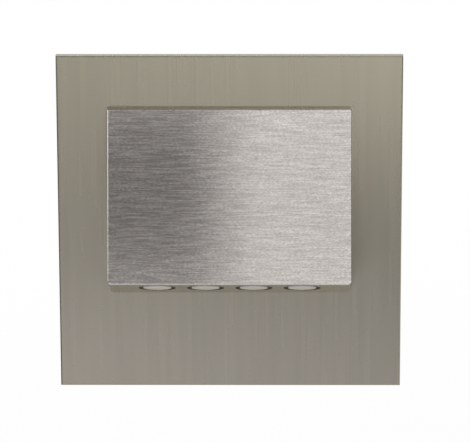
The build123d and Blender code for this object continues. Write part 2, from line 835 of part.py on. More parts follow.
# Spring clip on the right flat. At rest its arm points outwards and leans towards the plate.
pivot_x = flat_x + clip_pivot_out
arm_dir = Vector(cos(radians(clip_lead_deg)), -sin(radians(clip_lead_deg)), 0)
arm_back = Vector(sin(radians(clip_lead_deg)), cos(radians(clip_lead_deg)), 0)
pivot = Vector(pivot_x, clip_pivot_y, 0)
arm_plane = Plane(origin=pivot, x_dir=arm_dir, z_dir=(0, 0, 1))
web_in = spring_r + spring_wire / 2 + spring_gap
web_out = web_in + clip_sheet
web_middle = (web_in + web_out) / 2
pad_in = web_in - pad_t
pad_out = web_out + pad_t
pad_tip = (plate_side / 2 - clip_tip_inset - pivot_x + arm_back.X * pad_in) / arm_dir.X
arm_tip = pad_tip - pad_t
lug_out = clip_lug_in + clip_sheet
ear_in = lug_out + clip_gap
ear_out = ear_in + clip_sheet
base_x = flat_x + clip_sheet

with BuildPart() as clip_arm_right:
    with BuildSketch(arm_plane):
        with Locations(((clip_lug_reach - clip_heel) / 2, -web_middle)):
            Rectangle(clip_lug_reach + clip_heel, clip_sheet)
    extrude(amount=lug_out, both=True)
    with BuildSketch(arm_plane):
        with Locations((arm_tip / 2, -web_middle)):
            Rectangle(arm_tip, clip_sheet)
    extrude(amount=clip_neck_w / 2, both=True)
    with BuildSketch(arm_plane.offset(clip_lug_in), arm_plane.offset(-lug_out)):
        Circle(clip_lug_r)
        Polygon(
            (-clip_lug_r, 0),
            (-clip_heel, -web_out),
            (clip_lug_reach, -web_out),
            (clip_lug_reach, -web_in),
            (clip_lug_r, 0),
            align=None,
        )
    extrude(amount=clip_sheet)
    with BuildSketch(arm_plane.offset(-lug_out)):
        Circle(clip_pin_r + pin_gap)
    extrude(amount=2 * lug_out, mode=Mode.SUBTRACT)
clip_arm_right.part.label = "clip_arm_right"

# Rubber pad on the arm's tip
with BuildPart() as clip_pad_right:
    with BuildSketch(arm_plane):
        with Locations((pad_tip - pad_len / 2, -web_middle)):
            RectangleRounded(pad_len, pad_out - pad_in, pad_t / 2)
    extrude(amount=pad_w / 2, both=True)
    with BuildSketch(arm_plane):
        with Locations((arm_tip - pad_len / 2, -web_middle)):
            Rectangle(pad_len, clip_sheet + 2 * slip_gap)
    extrude(amount=clip_neck_w / 2 + slip_gap, both=True, mode=Mode.SUBTRACT)
clip_pad_right.part.label = "clip_pad_right"

# Bracket: a base on the flat, two ears for the pin and a tab that stops the arm
tab_x = pivot_x + stop_tab_over
tab_along = (tab_x - pivot_x + arm_back.X * web_out) / arm_dir.X
tab_back_y = clip_pivot_y + arm_dir.Y * tab_along - arm_back.Y * web_out - stop_gap
tab_front_y = tab_back_y - clip_sheet
base_end_y = clip_pivot_y + bracket_tail
with BuildPart() as clip_bracket_right:
    with BuildSketch(Plane.YZ.offset(flat_x)):
        with Locations(((tab_front_y + base_end_y) / 2, 0)):
            RectangleRounded(base_end_y - tab_front_y, 2 * ear_out, bracket_corner_r)
    extrude(amount=clip_sheet)
    with BuildSketch(Plane.XZ.offset(-tab_back_y)):
        with Locations(((flat_x + tab_x) / 2, 0)):
            Rectangle(tab_x - flat_x, stop_tab_w)
    extrude(amount=clip_sheet)
    with BuildSketch(Plane.XY.offset(ear_in), Plane.XY.offset(-ear_out)):
        with Locations((pivot_x, clip_pivot_y)):
            Circle(ear_r)
        with Locations(((flat_x + pivot_x) / 2, clip_pivot_y)):
            Rectangle(pivot_x - flat_x, 2 * ear_r)
    extrude(amount=clip_sheet)
    with BuildSketch(Plane.XY.offset(-ear_out)):
        with Locations((pivot_x, clip_pivot_y)):
            Circle(clip_pin_r + pin_gap)
    extrude(amount=2 * ear_out, mode=Mode.SUBTRACT)
    with BuildSketch(Plane.YZ.offset(flat_x)):
        with Locations(*bracket_screw_points):
            Circle(m2_r + screw_gap)
    extrude(amount=clip_sheet, mode=Mode.SUBTRACT)
clip_bracket_right.part.label = "clip_bracket_right"

# Riveted hinge pin
pin_seat_z = ear_out + pin_gap
with BuildPart() as clip_pin_right:
    with BuildSketch(Plane.XY.offset(-pin_seat_z)):
        with Locations((pivot_x, clip_pivot_y)):
            Circle(clip_pin_r)
    extrude(amount=2 * pin_seat_z)
    with BuildSketch(Plane.XY.offset(pin_seat_z), Plane.XY.offset(-pin_seat_z - clip_pin_head_t)):
        with Locations((pivot_x, clip_pivot_y)):
            Circle(clip_pin_head_r)
    extrude(amount=clip_pin_head_t)
    fillet(clip_pin_right.faces().sort_by(Axis.Z)[-1].edges(), clip_pin_head_t / 2)
    fillet(clip_pin_right.faces().sort_by(Axis.Z)[0].edges(), clip_pin_head_t / 2)
clip_pin_right.part.label = "clip_pin_right"

# Torsion spring round the pin: one leg lies on the bracket's base, the other behind the arm
coil_start = tau / 2
coil_end = tau * 3 / 4 - radians(clip_lead_deg) + tau * spring_full_turns
coil_steps = 4 * spring_full_turns + 1
coil_z = -spring_pitch * (coil_end - coil_start) / tau / 2


def coil_point(angle):
    """Point of the spring's wire at a winding angle."""
    z = coil_z + spring_pitch * (angle - coil_start) / tau
    return pivot + Vector(spring_r * cos(angle), spring_r * sin(angle), z)


def coil_tangent(angle):
    """Direction of the spring's wire at a winding angle."""
    return Vector(-spring_r * sin(angle), spring_r * cos(angle), spring_pitch / tau).normalized()


def biarc(start, start_tangent, end, end_tangent):
    """Two arcs that join smoothly and follow one stretch of the coil."""
    span = end - start
    both = start_tangent + end_tangent
    bend = 2 * (1 - start_tangent.dot(end_tangent))
    reach = (sqrt(span.dot(both) ** 2 + bend * span.dot(span)) - span.dot(both)) / bend
    first = start + start_tangent * reach
    last = end - end_tangent * reach
    joint = (first + last) / 2
    TangentArc(start, joint, tangent=start_tangent)
    TangentArc(joint, end, tangent=last - first)


coil_angles = [coil_start + (coil_end - coil_start) * k / coil_steps for k in range(coil_steps + 1)]
leg_fixed_tip = coil_point(coil_start) - coil_tangent(coil_start) * spring_leg_fixed
leg_moving_tip = coil_point(coil_end) + coil_tangent(coil_end) * spring_leg_moving
with BuildPart() as clip_spring_right:
    with BuildLine() as spring_line:
        Line(leg_fixed_tip, coil_point(coil_start))
        for a, b in zip(coil_angles, coil_angles[1:]):
            biarc(coil_point(a), coil_tangent(a), coil_point(b), coil_tangent(b))
        Line(coil_point(coil_end), leg_moving_tip)
    with BuildSketch(Plane(origin=leg_fixed_tip, z_dir=coil_tangent(coil_start))):
        Circle(spring_wire / 2)
    sweep()
clip_spring_right.part.label = "clip_spring_right"

# Least gap between the spring's turns, measured on points along its wire
spring_wire_line = spring_line.wire()
spring_points = [spring_wire_line.position_at(k / spring_samples) for k in range(spring_samples + 1)]
spring_step = spring_wire_line.length / spring_samples
apart = int(4 * spring_r / spring_step)
spring_self_gap = min(
    (spring_points[i] - spring_points[j]).length
    for i in range(len(spring_points))
    for j in range(i + apart, len(spring_points))
) - spring_wire
print(f"least gap between the spring's turns {spring_self_gap:.2f} mm")

# The left clip is the same clip turned half round the light's axis
half_turn = (0, 180, 0)
clip_pieces = [clip_arm_right, clip_pad_right, clip_bracket_right, clip_pin_right, clip_spring_right]
for right_piece in list(clip_pieces):
    with BuildPart() as left_piece:
        add(right_piece.part, rotation=half_turn)
    left_piece.part.label = right_piece.part.label.replace("right", "left")
    clip_pieces.append(left_piece)

bracket_screw_seats = [
    Plane(origin=(side * base_x, y, z), x_dir=(0, 1, 0), z_dir=(side, 0, 0))
    for side in (-1, 1)
    for y, z in bracket_screw_points
]
with BuildPart() as bracket_screws:
    with Locations(*bracket_screw_seats):
        add(pan_screw(m2_r, m2_head_r, m2_head_h, bracket_screw_len))
bracket_screws.part.label = "bracket_screws"

pieces = [
    face_plate, plate_studs, stud_nuts, wall_gasket, housing_seal, hood, hood_screws,
    led_carrier, carrier_screws, led_board, optic_bar, optic_screws, lead_grommet,
    housing, driver_board, driver_screws, terminal_block, terminal_screws,
    driver_inductor, driver_capacitor, input_capacitor, driver_chip,
    cover_seal, rear_cover, cover_screws, gland_body, gland_locknut, gland_seal, gland_nut,
    bracket_screws,
]
os.makedirs("parts", exist_ok=True)
for piece in pieces + lens_pieces + lead_pieces + clip_pieces:
    export_step(piece.part, f"parts/{piece.part.label}.step")
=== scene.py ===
# %% [markdown]
# # A recessed wall light
# A square plate of satin nickel covers a round housing in the wall. A wedge of brushed steel stands on
# the plate, and four small lenses look down from its underside. The solids come from the CAD frame, which
# is loaded first and never moved. This file gives them their finishes, and makes the few pieces that the
# CAD only holds the place of: springs, rubber tips and screws.

# %% Load the frame
import json
from math import copysign, cos, pi, radians, sin, sqrt, tau

import bmesh
import bpy
from mathutils import Matrix, Vector


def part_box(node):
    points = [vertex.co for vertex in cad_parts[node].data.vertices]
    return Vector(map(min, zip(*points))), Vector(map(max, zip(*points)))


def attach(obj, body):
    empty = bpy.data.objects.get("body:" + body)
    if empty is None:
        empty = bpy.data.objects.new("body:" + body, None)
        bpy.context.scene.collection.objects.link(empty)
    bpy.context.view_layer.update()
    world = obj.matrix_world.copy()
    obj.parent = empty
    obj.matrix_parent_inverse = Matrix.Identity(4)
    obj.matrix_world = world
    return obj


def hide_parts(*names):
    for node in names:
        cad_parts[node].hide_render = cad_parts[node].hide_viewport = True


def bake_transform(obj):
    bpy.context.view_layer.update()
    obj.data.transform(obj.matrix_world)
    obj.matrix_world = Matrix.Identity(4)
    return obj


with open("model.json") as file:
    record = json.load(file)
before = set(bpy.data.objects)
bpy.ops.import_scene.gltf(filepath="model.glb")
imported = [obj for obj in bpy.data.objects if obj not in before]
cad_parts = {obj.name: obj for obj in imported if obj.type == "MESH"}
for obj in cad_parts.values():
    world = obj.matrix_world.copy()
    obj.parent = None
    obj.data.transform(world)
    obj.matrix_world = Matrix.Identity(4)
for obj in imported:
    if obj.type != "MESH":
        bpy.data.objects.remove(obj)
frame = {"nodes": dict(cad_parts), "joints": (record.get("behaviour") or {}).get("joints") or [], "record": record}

MM = 0.001
scene = bpy.context.scene
record = frame["record"]
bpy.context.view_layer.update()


def in_mm(place):
    """A place in millimetres, for printing."""
    return [round(v / MM, 2) for v in place]


# %% [markdown]
# ## The camera
# The photograph was taken with a long lens, a little above the light and almost straight in front of it.
# The camera could be placed by eye, but the plate is a true square, so its four corners in the photograph
# give the distance, the tilt and the focal length. Those few numbers are enough to build the camera.

# %% Camera
photo_width = 470
focal_pixels = 3569.2
sensor_width = 36.0
view_pitch = radians(16.35)
view_yaw = radians(-0.70)
view_roll = radians(-0.18)
view_distance = 831.4 * MM
plate_off_middle = Vector((-1.20, 0.0, -0.47)) * MM

plate_front = Vector((0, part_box("face_plate")[0].y, 0))
pitch_turn = Matrix.Rotation(view_pitch, 3, "X")
yaw_turn = Matrix.Rotation(view_yaw, 3, "Z")
roll_turn = Matrix.Rotation(view_roll, 3, "Y")
view_turn = (roll_turn @ pitch_turn @ yaw_turn).transposed()
eye = plate_front - view_turn @ (plate_off_middle + Vector((0, view_distance, 0)))
upright = Matrix.Rotation(radians(90), 3, "X")

camera_data = bpy.data.cameras.new("photo_camera")
camera_data.sensor_width = sensor_width
camera_data.lens = focal_pixels / photo_width * sensor_width
camera = bpy.data.objects.new("photo_camera", camera_data)
camera.matrix_world = Matrix.Translation(eye) @ (view_turn @ upright).to_4x4()
scene.collection.objects.link(camera)
scene.camera = camera
scene.view_settings.view_transform = "Standard"
print("camera at", in_mm(eye), "mm, lens", round(camera_data.lens, 1))

# %% [markdown]
# ## Building node trees by hand
# Materials, the world and Geometry Nodes are all node trees, so one small helper serves them all: it adds a
# node, sets its options and fills its inputs, either with a value or with another node's output. The nodes
# that are needed most, for sums and for ranges, get a helper of their own.


# %% Node helpers
def put(tree, kind, inputs=None, **options):
    """Adds a node to a tree. Each input is a value, or the socket of another node to link."""
    node = tree.nodes.new(kind)
    for name, value in options.items():
        setattr(node, name, value)
    for key, value in (inputs or {}).items():
        if isinstance(value, bpy.types.NodeSocket):
            tree.links.new(value, node.inputs[key])
        else:
            node.inputs[key].default_value = value
    return node


def maths(tree, operation, *values):
    """Output of a Math node."""
    return put(tree, "ShaderNodeMath", dict(enumerate(values)), operation=operation).outputs[0]


def ranged(tree, value, low, high, to_low=0.0, to_high=1.0):
    """A value between two limits, carried over to two others and held between them."""
    limits = {"Value": value, "From Min": low, "From Max": high, "To Min": to_low, "To Max": to_high}
    return put(tree, "ShaderNodeMapRange", limits).outputs["Result"]


def blended(tree, share, first, second):
    """Colour between two colours."""
    mix = put(tree, "ShaderNodeMix", {0: share, 6: first, 7: second}, data_type="RGBA")
    return mix.outputs[2]


# %% [markdown]
# ## Studio
# The light hangs before plain white, lit softly from all round. White could come from strong lamps, but they
# would bleach the object too. So the world and the floor are white only to the rays that show them, and light
# the object at a lower level. Near the object the floor glows less, and there it keeps the shadow.

# %% World
ambient_level = 0.55
white = (1, 1, 1, 1)


def seen_directly(tree):
    """1 for the rays that show the background itself: to the camera, and in metal and glass."""
    path = put(tree, "ShaderNodeLightPath").outputs
    mirrored = maths(tree, "MAXIMUM", path["Is Glossy Ray"], path["Is Transmission Ray"])
    return maths(tree, "MAXIMUM", path["Is Camera Ray"], mirrored)


world = bpy.data.worlds.new("studio")
scene.world = world
world.use_nodes = True
sky = world.node_tree
sky.nodes.clear()
ambient = put(sky, "ShaderNodeBackground", {"Color": white, "Strength": ambient_level})
backdrop = put(sky, "ShaderNodeBackground", {"Color": white, "Strength": 1.0})
sky_mix = put(sky, "ShaderNodeMixShader", {
    0: seen_directly(sky), 1: ambient.outputs[0], 2: backdrop.outputs[0]})
put(sky, "ShaderNodeOutputWorld", {"Surface": sky_mix.outputs[0]})
print("world lights at", ambient_level, "and shows white")

# %% Floor
floor_drop = 260 * MM
floor_size = 8.0
floor_white = 0.9
glow_near = 0.85
glow_from = 350 * MM
glow_whole = 1000 * MM


def bare_paint(name):
    """A material and its tree, without nodes."""
    material = bpy.data.materials.new(name)
    material.use_nodes = True
    material.node_tree.nodes.clear()
    return material, material.node_tree


def flat_sheet(name, width, height, place, turn, material):
    """A rectangle of the stage, centred on its place and facing along its turned Z axis."""
    mesh = bpy.data.meshes.new(name)
    corners = [(-width / 2, -height / 2, 0), (width / 2, -height / 2, 0),
               (width / 2, height / 2, 0), (-width / 2, height / 2, 0)]
    mesh.from_pydata(corners, [], [(0, 1, 2, 3)])
    mesh.materials.append(material)
    sheet = bpy.data.objects.new(name, mesh)
    sheet.matrix_world = Matrix.Translation(place) @ turn.to_4x4()
    scene.collection.objects.link(sheet)
    return sheet


floor_paint, paint = bare_paint("studio_floor")
matt = put(paint, "ShaderNodeBsdfDiffuse", {"Color": (floor_white, floor_white, floor_white, 1)})
glow = put(paint, "ShaderNodeEmission", {"Color": white, "Strength": 1.0})
here = put(paint, "ShaderNodeNewGeometry").outputs["Position"]
away = put(paint, "ShaderNodeVectorMath", {0: here}, operation="LENGTH").outputs["Value"]
glow_rise = ranged(paint, away, glow_from, glow_whole, glow_near, 1.0)
glow_share = maths(paint, "MULTIPLY", seen_directly(paint), glow_rise)
floor_mix = put(paint, "ShaderNodeMixShader", {0: glow_share, 1: matt.outputs[0], 2: glow.outputs[0]})
put(paint, "ShaderNodeOutputMaterial", {"Surface": floor_mix.outputs[0]})

floor_place = Vector((0, 0, -floor_drop))
flat_sheet("studio_floor", floor_size, floor_size, floor_place, Matrix.Identity(3), floor_paint)
print("floor", round(floor_drop / MM), "mm below the middle of the plate")

# %% [markdown]
# ### Cards for the metal to mirror
# Metal shows its surroundings more than its own colour. A photographer shapes it with cards: a bright one
# draws a highlight, and a dark one, called a flag, draws an edge. One picture all round could do the same,
# but a card is easier to move. Each card here glows evenly or in a soft grade. Only reflections see it, so
# it adds no light of its own and stays out of the picture. The sloping hood mirrors the card before it,
# which is dark on the left and bright on the right. The upright plate mirrors the card on the floor.


# %% Card paint
def follow(tree, value, stops):
    """Colour that follows a value. A stop has a place, a strength and, if it is cold, a share of blue."""
    first, last = stops[0][0], stops[-1][0]
    grade = put(tree, "ShaderNodeValToRGB", {0: ranged(tree, value, first, last)})
    ramp = grade.color_ramp
    ramp.interpolation = "EASE"
    ramp.elements.remove(ramp.elements[1])
    for k, (place, strength, *cold) in enumerate(stops):
        stop = ramp.elements.new((place - first) / (last - first)) if k else ramp.elements[0]
        stop.color = (strength, strength, strength * (1 + sum(cold)), 1)
    return grade.outputs["Color"]


def card_paint(name, strength=1.0, axis="", stops=(), right_stops=(), reach=()):
    """Glowing paint: even, or graded along an axis. Over its reach in X it goes over to the right's stops."""
    material, tree = bare_paint(name)
    light = put(tree, "ShaderNodeEmission", {"Color": white, "Strength": strength})
    if axis:
        here = put(tree, "ShaderNodeNewGeometry").outputs["Position"]
        place = put(tree, "ShaderNodeSeparateXYZ", {0: here}).outputs
        colour = follow(tree, place[axis], stops)
        if right_stops:
            right = follow(tree, place[axis], right_stops)
            colour = blended(tree, ranged(tree, place["X"], *reach), colour, right)
        tree.links.new(colour, light.inputs["Color"])
    put(tree, "ShaderNodeOutputMaterial", {"Surface": light.outputs[0]})
    return material


def mirror_card(name, width, height, place, facing, **glow):
    """A card that is seen only in reflections."""
    turn = facing.to_track_quat("Z", "Y").to_matrix()
    card = flat_sheet(name, width, height, place, turn, card_paint(name, **glow))
    card.visible_camera = False
    card.visible_diffuse = False
    card.visible_shadow = False
    print(name, "at", in_mm(place), "mm")


# %% Cards before the hood and under the plate
to_back, to_left, upward = Vector((0, 1, 0)), Vector((-1, 0, 0)), Vector((0, 0, 1))
hood_low, hood_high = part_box("hood")
front_distance = 300 * MM
front_width = 900 * MM
front_low = 42 * MM
front_high = 122 * MM
front_y = (hood_low.y + hood_high.y) / 2 - front_distance
front_place = Vector((0, front_y, (front_low + front_high) / 2))
card_lift = 1 * MM

mirror_card(
    "front_card", front_width, front_high - front_low, front_place, to_back,
    axis="Z", reach=(-17 * MM, 4 * MM),
    stops=[(front_low, 0.11), (66 * MM, 0.0), (front_high, 0.01)],
    right_stops=[(front_low, 0.81), (84 * MM, 0.82), (front_high, 1.05)])
mirror_card(
    "floor_card", 3.0, 1.7, Vector((0, -0.50, card_lift - floor_drop)), upward,
    axis="Y", reach=(-0.12, 0.12),
    stops=[(-1.15, 0.42), (-0.90, 0.63, 0.03), (-0.65, 1.15, 0.14), (-0.35, 0.71)],
    right_stops=[(-1.15, 1.95), (-0.90, 0.06, 0.03), (-0.65, 0.54, 0.14), (-0.35, 0.80)])

# %% Cards for the edges
mirror_card("roof_flag", 1.0, 1.0, Vector((0, -0.2, 0.45)), -upward,
            axis="X", stops=[(-0.08, 0.24), (0.08, 0.84)])
mirror_card("right_flag", 0.4, 0.44, Vector((0.35, 0.10, 0.16)), to_left, strength=0.12)
mirror_card("back_card", 1.6, 0.5, Vector((0, 0.7, 0.22)), -to_back, strength=0.78)
mirror_card("left_card", 0.5, 0.12, Vector((-0.4, -0.05, 0.05)), -to_left, strength=1.7)
mirror_card("left_flag", 0.7, 0.21, Vector((-0.35, -0.05, -0.14)), to_left, strength=0.20)

# %% [markdown]
# ### Lamps
# Plastic and rubber take no shape from cards, so they need some light from one side. One small lamp would
# give hard shadows. Three large ones, in front, beside and behind, stay soft from every side.

# %% Lamps
lamp_size = 0.7


def soft_lamp(name, place, watts):
    """A square lamp that points at the light."""
    data = bpy.data.lights.new(name, "AREA")
    data.size = lamp_size
    data.energy = watts
    lamp = bpy.data.objects.new(name, data)
    turn = (-place).to_track_quat("-Z", "Y").to_matrix()
    lamp.matrix_world = Matrix.Translation(place) @ turn.to_4x4()
    lamp.visible_camera = False
    scene.collection.objects.link(lamp)


soft_lamp("key_lamp", Vector((0.9, -0.9, 1.0)), 8.0)
soft_lamp("fill_lamp", Vector((-1.1, -0.5, 0.6)), 4.0)
soft_lamp("back_lamp", Vector((-0.5, 1.3, 0.8)), 6.0)

# %% [markdown]
# ## Finishes
# Every finish starts from the Principled shader and reads the piece's own Object coordinates, so a pattern
# keeps its real size in metres and rides along when a piece moves. `speckle` is the building stone: noise
# whose grains have a chosen size along X, Y and Z.

# %% Finish helpers
finishes = {}
bevel_samples = 4


def new_finish(name, **sockets):
    """Adds a finish and gives its tree and its Principled shader, with the shader's constant sockets set."""
    material = bpy.data.materials.new(name)
    material.use_nodes = True
    finishes[name] = material
    shader = material.node_tree.nodes["Principled BSDF"]
    for socket, value in sockets.items():
        shader.inputs[socket.replace("_", " ")].default_value = value
    return material.node_tree, shader


def lead_in(tree, shader, **outputs):
    """Links outputs to the shader's sockets."""
    for socket, output in outputs.items():
        tree.links.new(output, shader.inputs[socket.replace("_", " ")])


def speckle(tree, grain, detail=2.0):
    """Noise from 0 to 1 whose grains measure so many millimetres along X, Y and Z."""
    here = put(tree, "ShaderNodeTexCoord").outputs["Object"]
    sized = put(tree, "ShaderNodeMapping", {"Vector": here, "Scale": [1 / (g * MM) for g in grain]})
    noise = put(tree, "ShaderNodeTexNoise", {"Vector": sized.outputs[0], "Scale": 1.0, "Detail": detail})
    return noise.outputs[0]


def spread(tree, value, low, high, inner=(0.3, 0.7)):
    """Stretches the middle of a noise between two values."""
    return ranged(tree, value, *inner, low, high)


def tinted(tree, colour, *tones):
    """A colour made lighter and darker by tones around 1."""
    shade = tones[0]
    for tone in tones[1:]:
        shade = maths(tree, "MULTIPLY", shade, tone)
    return put(tree, "ShaderNodeVectorMath", {0: colour, "Scale": shade}, operation="SCALE").outputs[0]


def between(tree, share, first, second):
    """A colour between two plain colours."""
    return blended(tree, share, (*first, 1), (*second, 1))


def bumped(tree, height, depth, edge_r=0.0):
    """A normal with small relief, and with edges broken to a small radius, both in millimetres."""
    relief = {"Height": height, "Distance": depth * MM, "Strength": 1.0}
    if edge_r:
        broken = put(tree, "ShaderNodeBevel", {"Radius": edge_r * MM}, samples=bevel_samples)
        relief["Normal"] = broken.outputs[0]
    return put(tree, "ShaderNodeBump", relief).outputs[0]


def linear(*levels):
    """Linear colour of the red, green and blue that a picture shows, from 0 to 255, by the sRGB curve."""
    shown = [level / 255 for level in levels]
    return tuple(v / 12.92 if v < 0.04045 else ((v + 0.055) / 1.055) ** 2.4 for v in shown)


# %% [markdown]
# ### Brushed metal
# Brushing leaves fine scratches that all run one way. A mirror image in such metal is drawn out across the
# scratches and stays sharp along them, which is what the shader's anisotropy does: its tangent points across
# the scratches. A stretched noise would do for the scratches, but its grains wave like wood. So here each
# row has a noise of its own, which starts at a place picked by chance, and every scratch is straight. The
# plate is brushed upright, the hood from side to side, and the hood's cheeks carry the same scratches round
# the fold.

# %% Scratches
row_jump = 100.0
cheek_turn = 0.7
face_only = (0.9, 1.0)


def scratch_rows(tree, along, across, pitch, length):
    """Straight scratches: noise runs along each row, and starts in each at a place picked by chance."""
    row = maths(tree, "FLOOR", maths(tree, "DIVIDE", across, pitch * MM))
    chance = put(tree, "ShaderNodeTexWhiteNoise", {"W": row}, noise_dimensions="1D").outputs["Color"]
    start = put(tree, "ShaderNodeVectorMath", {0: chance, "Scale": row_jump}, operation="SCALE").outputs[0]
    course = put(tree, "ShaderNodeCombineXYZ", {0: maths(tree, "DIVIDE", along, length * MM)}).outputs[0]
    place = put(tree, "ShaderNodeVectorMath", {0: course, 1: start}).outputs[0]
    grain = {"Vector": place, "Scale": 1.0, "Detail": 1.0}
    return put(tree, "ShaderNodeTexNoise", grain, noise_dimensions="2D").outputs[0]


def own_axes(tree):
    """X, Y and Z of the piece's own coordinates, and of its normal."""
    here = put(tree, "ShaderNodeTexCoord").outputs
    return [put(tree, "ShaderNodeSeparateXYZ", {0: here[kind]}).outputs for kind in ("Object", "Normal")]


def up_the_face(tree):
    """Along and across the plate's scratches, and how far they show: on its face, not on its edges."""
    place, normal = own_axes(tree)
    shown = spread(tree, maths(tree, "ABSOLUTE", normal["Y"]), 0, 1, face_only)
    return place["Z"], place["X"], shown


def round_the_folds(tree):
    """Along and across the hood's scratches: from side to side, and back along its cheeks."""
    place, normal = own_axes(tree)
    on_cheek = maths(tree, "GREATER_THAN", maths(tree, "ABSOLUTE", normal["X"]), cheek_turn)
    down = maths(tree, "SUBTRACT", place["Z"], place["Y"])
    along = put(tree, "ShaderNodeMix", {0: on_cheek, 2: place["X"], 3: place["Y"]}).outputs[0]
    across = put(tree, "ShaderNodeMix", {0: on_cheek, 2: down, 3: place["Z"]}).outputs[0]
    return along, across, 1.0


# %% Brushed nickel and brushed steel
rough_drift = 0.006


def brushed(name, colour, tangent, course, scratches, roughness, anisotropy, relief):
    """Brushed metal. A layer of scratches is a pitch and a length, both in millimetres, and a contrast."""
    tree, shader = new_finish(name, Metallic=1.0, Anisotropic=anisotropy)
    along, across, shown = course(tree)
    layers, tones = [], []
    for pitch, length, contrast in scratches:
        layers.append(scratch_rows(tree, along, across, pitch, length))
        tone = spread(tree, layers[-1], -contrast, contrast)
        tones.append(maths(tree, "MULTIPLY_ADD", tone, shown, 1.0))
    height = maths(tree, "MULTIPLY", layers[0], shown)
    lead_in(tree, shader,
            Base_Color=tinted(tree, colour, *tones),
            Roughness=spread(tree, layers[0], roughness - rough_drift, roughness + rough_drift),
            Normal=bumped(tree, height, relief),
            Tangent=put(tree, "ShaderNodeCombineXYZ", dict(enumerate(tangent))).outputs[0])


brushed("plate_nickel", linear(166, 160, 143), tangent=(1, 0.3, 0), course=up_the_face,
        scratches=[(0.7, 30, 0.018), (1.5, 60, 0.020)], roughness=0.27, anisotropy=0.9, relief=0.00005)
brushed("hood_steel", linear(205, 199, 194), tangent=(0, -0.3, 1), course=round_the_folds,
        scratches=[(0.18, 7.0, 0.12), (0.12, 0.6, 0.16)], roughness=0.155, anisotropy=0.95, relief=0.0004)
print("brushed", list(finishes))

# %% [markdown]
# ### Plated and bare metal
# The clips, screws and studs are zinc-plated: bright, slightly cloudy, with a faint warm and cold drift in
# the passivation. Spring wire is drawn, so it is plain and shiny with fine marks. The heat spreader and the
# capacitor's can are bare aluminium. One even grey would serve for all, but clouds and marks tell them apart.

# %% Zinc, spring wire and aluminium
cloud_detail = 3.0
duller, glossier = 0.09, 0.07


def plated(name, warm, cold, cloud, roughness, grain, relief, edge_r):
    """Metal whose colour drifts in clouds between a warm and a cold tone."""
    tree, shader = new_finish(name, Metallic=1.0)
    clouds = speckle(tree, (cloud, cloud, cloud), cloud_detail)
    marks = speckle(tree, grain)
    lead_in(tree, shader,
            Base_Color=between(tree, spread(tree, clouds, 0, 1), linear(*warm), linear(*cold)),
            Roughness=spread(tree, marks, roughness - glossier, roughness + duller),
            Normal=bumped(tree, marks, relief, edge_r))


before = len(finishes)
plated("zinc_steel", (208, 205, 196), (196, 200, 206), 1.6, 0.30, (0.12, 0.12, 0.12), 0.002, 0.10)
plated("clip_steel", (203, 200, 190), (190, 194, 200), 5.0, 0.36, (0.15, 3.0, 0.15), 0.003, 0.12)
plated("spring_steel", (176, 174, 170), (158, 160, 163), 2.5, 0.24, (0.06, 0.06, 0.06), 0.001, 0.0)
plated("spreader_aluminium", (214, 214, 214), (206, 208, 212), 8.0, 0.40, (6.0, 0.2, 0.2), 0.003, 0.15)
plated("capacitor_can", (210, 210, 212), (200, 202, 206), 3.0, 0.25, (0.2, 2.0, 0.2), 0.001, 0.1)
print("plated", list(finishes)[before:])

# %% [markdown]
# ### Plastic and rubber
# The housing is a moulding with a fine spark-eroded skin, so it is never quite one tone and its gloss breaks
# up at a fifth of a millimetre. Nylon is smoother. Rubber is duller, with a pale bloom in patches. One recipe
# with other sizes serves them all.

# %% Mouldings
patch_size = 9.0
patch_detail = 4.0
bloom_most = 0.6
bloom_broken = (0.6, 1.4)
skin_drift = 0.08


def moulded(name, colour, bloom, skin, relief, roughness, edge_r=0.15):
    """Plastic or rubber: a base colour with patches of a paler bloom, and a fine skin."""
    tree, shader = new_finish(name)
    patches = speckle(tree, (patch_size, patch_size, patch_size), patch_detail)
    grains = speckle(tree, (skin, skin, skin))
    share = maths(tree, "MULTIPLY", spread(tree, patches, 0, bloom_most), spread(tree, grains, *bloom_broken))
    lead_in(tree, shader,
            Base_Color=between(tree, share, linear(*colour), linear(*bloom)),
            Roughness=spread(tree, grains, roughness - skin_drift, roughness + skin_drift),
            Normal=bumped(tree, grains, relief, edge_r))


before = len(finishes)
moulded("housing_plastic", (58, 59, 61), (72, 73, 75), 0.22, 0.012, 0.52, 0.25)
moulded("gland_nylon", (38, 38, 39), (52, 52, 53), 0.35, 0.004, 0.40, 0.25)
moulded("gasket_rubber", (62, 60, 58), (78, 76, 73), 0.15, 0.008, 0.78, 0.12)
moulded("pad_rubber", (44, 44, 46), (62, 61, 60), 0.12, 0.006, 0.70, 0.0)
moulded("optic_black", (28, 28, 28), (38, 38, 38), 0.2, 0.006, 0.6)
moulded("component_black", (34, 34, 36), (46, 46, 48), 0.15, 0.006, 0.55)
moulded("terminal_plastic", (44, 128, 72), (60, 142, 88), 0.3, 0.004, 0.42)
moulded("film_box", (205, 172, 62), (214, 184, 84), 0.3, 0.003, 0.35)
moulded("lead_red_skin", (176, 30, 28), (188, 48, 42), 0.2, 0.002, 0.38)
moulded("lead_black_skin", (32, 32, 33), (44, 44, 45), 0.2, 0.002, 0.38)
print("mouldings", list(finishes)[before:])

# %% [markdown]
# ### Lenses and light sources
# The lenses are frosted: light enters, scatters and comes out again, so they look pale and soft rather than
# clear. Glass with scattering inside would be truer, but so shallow a view shows only a milky skin, which a
# plain shader gives with far less noise. The phosphor of the light sources is milky too, and yellow.

# %% Frosted lens and phosphor
etch_size = 0.1
etch_depth = 0.002
veil_size = 2.5
veil_tones = (0.96, 1.03)
etch_rough = (0.38, 0.52)


